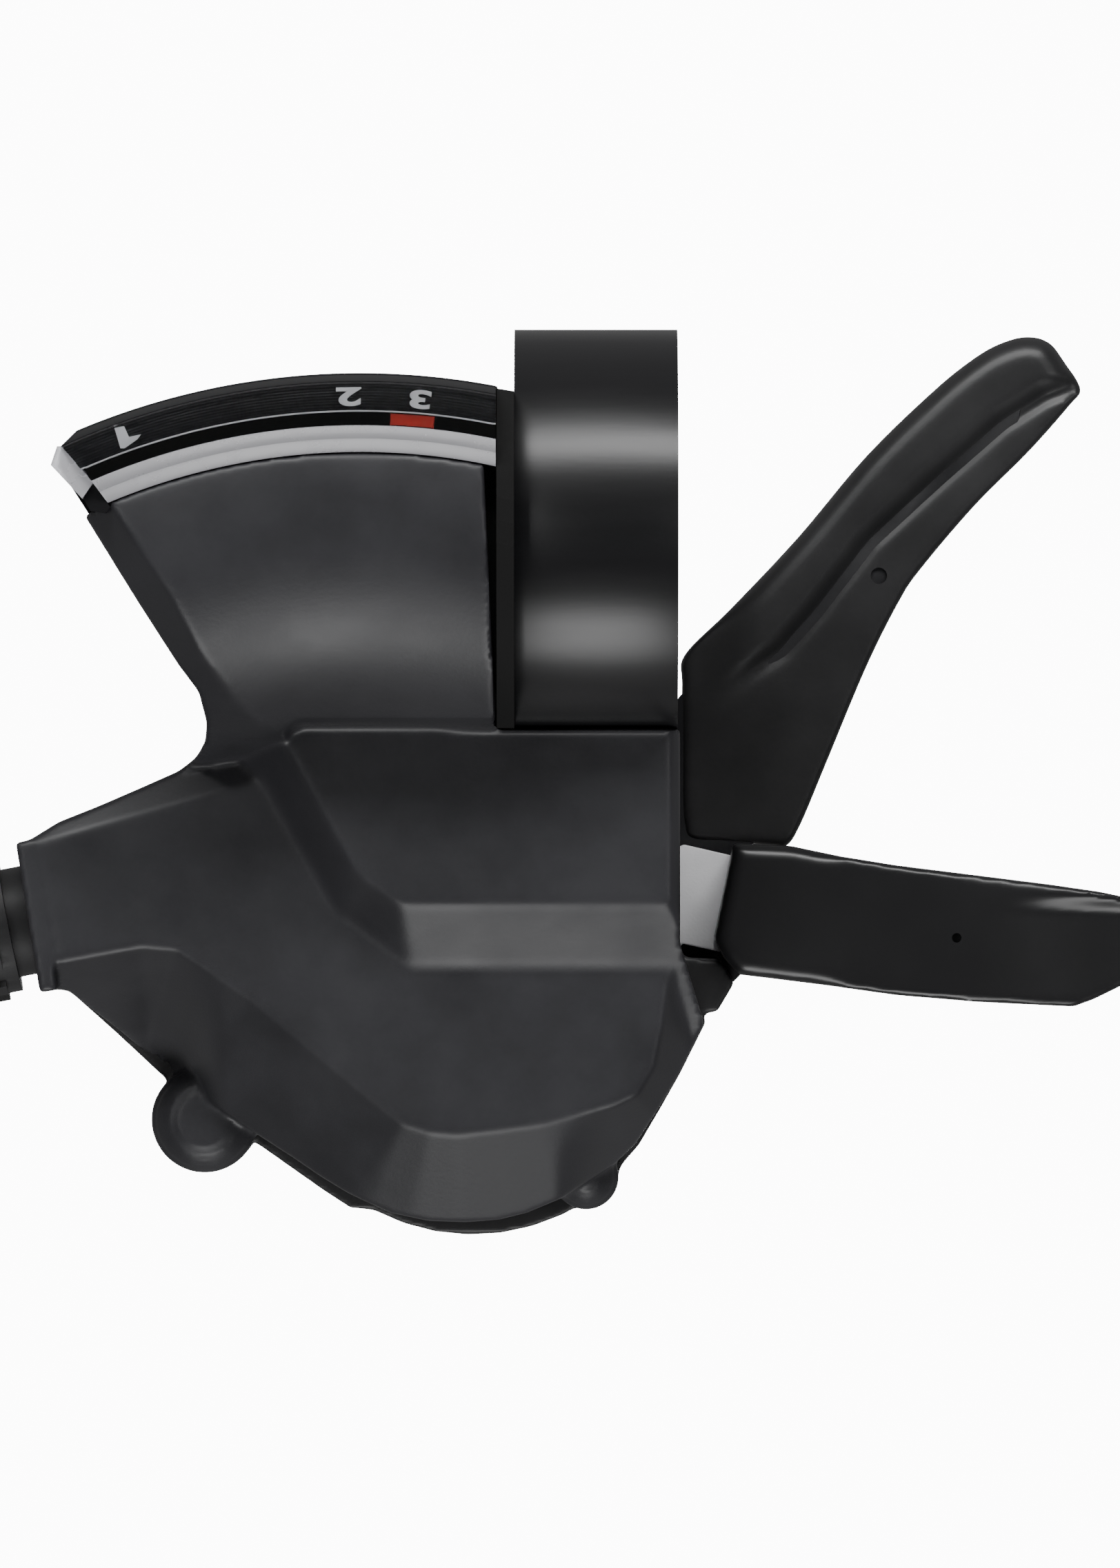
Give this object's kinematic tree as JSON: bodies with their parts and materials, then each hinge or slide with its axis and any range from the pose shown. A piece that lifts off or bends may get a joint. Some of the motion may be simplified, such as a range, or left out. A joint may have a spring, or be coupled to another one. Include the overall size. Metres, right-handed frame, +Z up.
{
  "type": "thumb shifter",
  "caption": "Left-hand three-gear thumb shifter with handlebar clamp band, window display, thumb and release levers, ratchet winder and barrel adjuster.",
  "frame": {"origin": "centre of the handlebar bore at the middle of the clamp band", "axes": "+X along the handlebar towards the grip, +Y towards the rider, +Z up through the display"},
  "size_m": [0.0942, 0.0661, 0.0459],
  "materials": {
    "cover_plastic": "fine matt texture, charcoal",
    "base_plastic": "matt black",
    "pad_plastic": "satin black",
    "gloss_black": "glossy black",
    "band_alloy": "satin black anodised",
    "steel": "zinc plated",
    "silver_plate": "fine blasted silver",
    "dark_steel": "black coated steel",
    "spring_steel": "bright wire",
    "brass": "plain",
    "lens": "clear polished lens",
    "scale_print": "black with white figures",
    "red_plastic": "signal red",
    "arm_plastic": "natural white",
    "rubber_black": "soft plug"
  },
  "bodies": {
    "root": {"bracket": "steel", "clamp_band": "band_alloy", "clamp_bolt": "dark_steel", "clamp_nut": "steel", "band_screws": "steel", "top_cover": "cover_plastic", "base_cover": "base_plastic", "cover_screws": "steel", "indicator_window": "lens", "indicator_scale": "scale_print", "indicator_base": "gloss_black", "indicator_pivot": "steel", "main_axle": "steel", "axle_nut": "steel", "axle_washer": "steel", "lever_bushing": "brass", "winder_spring": "spring_steel", "main_lever_spring": "spring_steel", "release_lever_spring": "spring_steel", "holding_pawl_pin": "steel", "holding_pawl_spring": "spring_steel", "adjuster_spring": "spring_steel", "cable_plug": "rubber_black"},
    "winder": {"winder": "steel", "drive_pin": "steel", "ratchet_wheel": "steel"},
    "main_lever": {"main_lever": "dark_steel", "main_lever_pad": "pad_plastic", "drive_pawl_pin": "steel", "drive_pawl_spring": "spring_steel"},
    "drive_pawl": {"drive_pawl": "steel"},
    "release_lever": {"release_lever": "silver_plate", "release_lever_pad": "gloss_black"},
    "holding_pawl": {"holding_pawl": "steel"},
    "indicator_arm": {"indicator_arm": "arm_plastic", "indicator_pointer": "red_plastic"},
    "adjuster_stem": {"adjuster_screw": "base_plastic"},
    "adjuster_knob": {"adjuster_knob": "base_plastic"}
  },
  "joints": [
    {"name": "main_lever_turn", "type": "hinge", "parent": "root", "child": "main_lever", "pos_m": [-0.0075, -0.035, -0.0202], "axis": [0, 0, -1], "range_deg": [0, 37.5], "stiffness_Nm_per_rad": 0.06},
    {"name": "drive_pawl_turn", "type": "hinge", "parent": "main_lever", "child": "drive_pawl", "pos_m": [-0.01883, -0.037, -0.0156], "axis": [0, 0, -1], "range_deg": [0, 5], "stiffness_Nm_per_rad": 0.004},
    {"name": "release_lever_turn", "type": "hinge", "parent": "root", "child": "release_lever", "pos_m": [-0.0075, -0.035, -0.018], "axis": [0, 0, 1], "range_deg": [0, 12], "stiffness_Nm_per_rad": 0.05},
    {"name": "holding_pawl_turn", "type": "hinge", "parent": "root", "child": "holding_pawl", "pos_m": [-0.006, -0.0464, -0.0156], "axis": [0, 0, -1], "range_deg": [0, 5], "stiffness_Nm_per_rad": 0.004},
    {"name": "winder_turn", "type": "hinge", "parent": "root", "child": "winder", "pos_m": [-0.0075, -0.035, -0.0115], "axis": [0, 0, 1], "range_deg": [0, 50]},
    {"name": "indicator_turn", "type": "hinge", "parent": "root", "child": "indicator_arm", "pos_m": [-0.0169, -0.0411, -0.0034], "axis": [0, 0, 1], "range_deg": [0, 23.6]},
    {"name": "adjuster_advance", "type": "slide", "parent": "root", "child": "adjuster_stem", "axis": [-0.9816, -0.1908, 0], "range_m": [0, 0.005]},
    {"name": "adjuster_turn", "type": "hinge", "parent": "adjuster_stem", "child": "adjuster_knob", "pos_m": [-0.04639, -0.02934, -0.0115], "axis": [-0.9816, -0.1908, 0], "range_deg": [0, 1801]}
  ],
  "couplings": [
    {"joint": "indicator_turn", "follows": "winder_turn", "ratio": 0.4713},
    {"joint": "adjuster_turn", "follows": "adjuster_advance", "rad_per_m": 6283.2}
  ]
}
